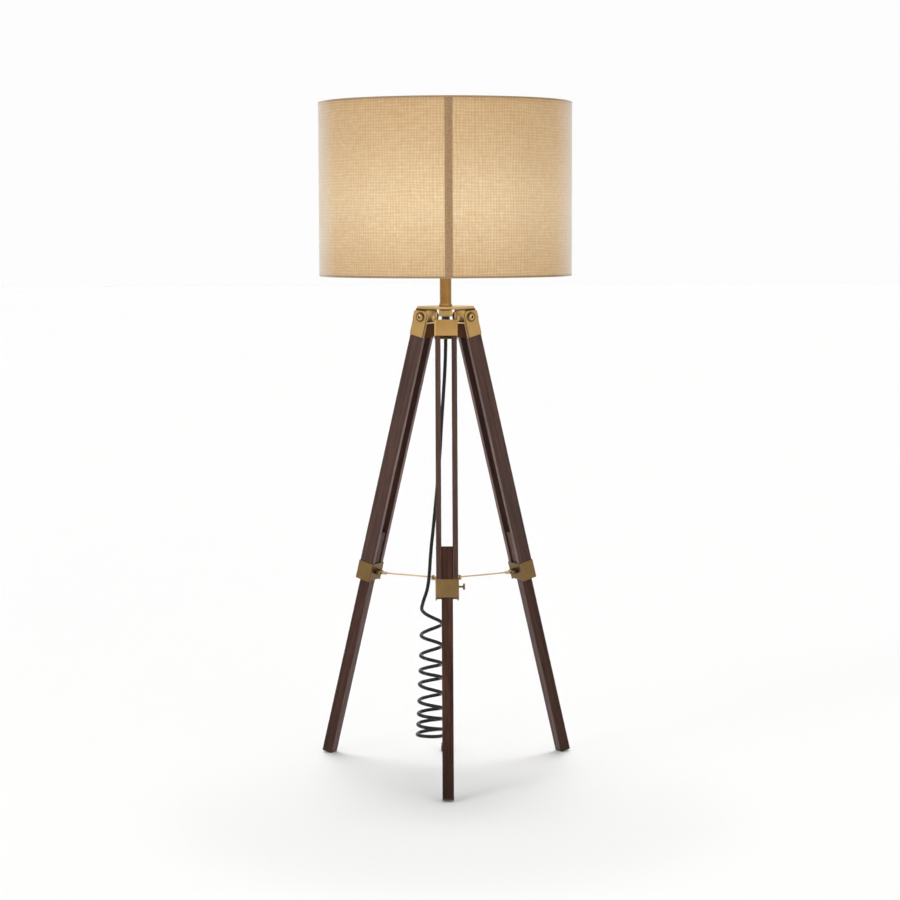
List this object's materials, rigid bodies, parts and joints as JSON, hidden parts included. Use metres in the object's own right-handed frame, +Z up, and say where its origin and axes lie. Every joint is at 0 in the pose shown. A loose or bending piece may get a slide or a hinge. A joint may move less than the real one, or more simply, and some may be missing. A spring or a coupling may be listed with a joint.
{
  "type": "tripod floor lamp",
  "caption": "Floor lamp with a fabric drum shade on a short brass stem, folding wooden tripod legs that slide to adjust, a rod spreader and a curly cord.",
  "frame": {"origin": "on the floor under the stem's axis", "axes": "+Z up along the stem, -Y towards the front leg, +X to the right seen from the front"},
  "size_m": [0.5156, 0.5418, 1.33],
  "materials": {
    "brass": "satin",
    "dark_brass": "aged satin",
    "steel": "plated",
    "walnut": "satin lacquer",
    "linen": "plain weave",
    "white_wire": "gloss",
    "opal_glass": "opal",
    "black_plastic": "matte",
    "black_fibre": "matte",
    "black_rubber": "satin"
  },
  "bodies": {
    "head": {"head_plate": "brass", "stem": "brass", "neck_flange": "brass", "threaded_nipple": "steel", "lock_washer": "black_fibre", "lock_nut": "brass", "cord_gland": "black_plastic", "lampholder": "brass", "bulb_cap": "steel", "bulb_globe": "opal_glass", "shade_drum": "linen", "shade_top_ring": "white_wire", "shade_bottom_ring": "white_wire", "shade_spider": "white_wire", "shade_ring": "brass", "front_hinge_fasteners": "brass", "right_hinge_fasteners": "brass", "left_hinge_fasteners": "brass", "cord_lead": "black_rubber", "cord_curl": "black_rubber", "cord_tail": "black_rubber", "plug_body": "black_rubber", "plug_blades": "brass"},
    "switch": {"switch_bar": "black_plastic"},
    "hub": {"spreader_hub": "brass"},
    "front_leg": {"front_bracket": "brass", "front_rail_a": "walnut", "front_rail_b": "walnut", "front_collar": "dark_brass", "front_glide_pads": "black_plastic", "front_eye_pin": "dark_brass"},
    "front_lower": {"front_lower_leg": "walnut", "front_foot_pad": "black_rubber"},
    "front_thumb": {"front_thumb_screw": "dark_brass"},
    "front_rod": {"front_spreader_rod": "dark_brass"},
    "right_leg": {"right_bracket": "brass", "right_rail_a": "walnut", "right_rail_b": "walnut", "right_collar": "dark_brass", "right_glide_pads": "black_plastic", "right_eye_pin": "dark_brass"},
    "right_lower": {"right_lower_leg": "walnut", "right_foot_pad": "black_rubber"},
    "right_thumb": {"right_thumb_screw": "dark_brass"},
    "right_rod": {"right_spreader_rod": "dark_brass"},
    "left_leg": {"left_bracket": "brass", "left_rail_a": "walnut", "left_rail_b": "walnut", "left_collar": "dark_brass", "left_glide_pads": "black_plastic", "left_eye_pin": "dark_brass"},
    "left_lower": {"left_lower_leg": "walnut", "left_foot_pad": "black_rubber"},
    "left_thumb": {"left_thumb_screw": "dark_brass"},
    "left_rod": {"left_spreader_rod": "dark_brass"}
  },
  "joints": [
    {"name": "fold_front", "type": "hinge", "parent": "head", "child": "front_leg", "pos_m": [0, -0.045, 0.9085], "axis": [1, 0, 0], "range_deg": [0, 11]},
    {"name": "extend_front", "type": "slide", "parent": "front_leg", "child": "front_lower", "axis": [0, 0.2516, 0.9678], "range_m": [-0.04, 0.36]},
    {"name": "clamp_front", "type": "hinge", "parent": "front_leg", "child": "front_thumb", "pos_m": [0, -0.17833, 0.39554], "axis": [1, 0, 0], "range_deg": [0, 360]},
    {"name": "rod_front", "type": "hinge", "parent": "front_leg", "child": "front_rod", "pos_m": [0, -0.15422, 0.38494], "axis": [1, 0, 0], "range_deg": [0, 67.44]},
    {"name": "fold_right", "type": "hinge", "parent": "head", "child": "right_leg", "pos_m": [0.03897, 0.0225, 0.9085], "axis": [-0.5, 0.866, 0], "range_deg": [0, 11]},
    {"name": "extend_right", "type": "slide", "parent": "right_leg", "child": "right_lower", "axis": [-0.2179, -0.1258, 0.9678], "range_m": [-0.04, 0.36]},
    {"name": "clamp_right", "type": "hinge", "parent": "right_leg", "child": "right_thumb", "pos_m": [0.15444, 0.08916, 0.39554], "axis": [-0.5, 0.866, 0], "range_deg": [0, 360]},
    {"name": "rod_right", "type": "hinge", "parent": "right_leg", "child": "right_rod", "pos_m": [0.13356, 0.07711, 0.38494], "axis": [-0.5, 0.866, 0], "range_deg": [0, 67.44]},
    {"name": "fold_left", "type": "hinge", "parent": "head", "child": "left_leg", "pos_m": [-0.03897, 0.0225, 0.9085], "axis": [-0.5, -0.866, 0], "range_deg": [0, 11]},
    {"name": "extend_left", "type": "slide", "parent": "left_leg", "child": "left_lower", "axis": [0.2179, -0.1258, 0.9678], "range_m": [-0.04, 0.36]},
    {"name": "clamp_left", "type": "hinge", "parent": "left_leg", "child": "left_thumb", "pos_m": [-0.15444, 0.08916, 0.39554], "axis": [0.5, 0.866, 0], "range_deg": [0, 360]},
    {"name": "rod_left", "type": "hinge", "parent": "left_leg", "child": "left_rod", "pos_m": [-0.13356, 0.07711, 0.38494], "axis": [-0.5, -0.866, 0], "range_deg": [0, 67.44]},
    {"name": "hub_rise", "type": "slide", "parent": "head", "child": "hub", "axis": [0, 0, 1], "range_m": [0, 0.11406]},
    {"name": "switch_push", "type": "slide", "parent": "head", "child": "switch", "axis": [1, 0, 0], "range_m": [0, 0.006]}
  ],
  "couplings": [
    {"joint": "rod_front", "follows": "fold_front", "ratio": 6.1218},
    {"joint": "fold_right", "follows": "fold_front", "ratio": 1},
    {"joint": "rod_right", "follows": "fold_front", "ratio": 6.1218},
    {"joint": "fold_left", "follows": "fold_front", "ratio": 1},
    {"joint": "rod_left", "follows": "fold_front", "ratio": 6.1218},
    {"joint": "hub_rise", "follows": "fold_front", "m_per_rad": 0.59308}
  ]
}
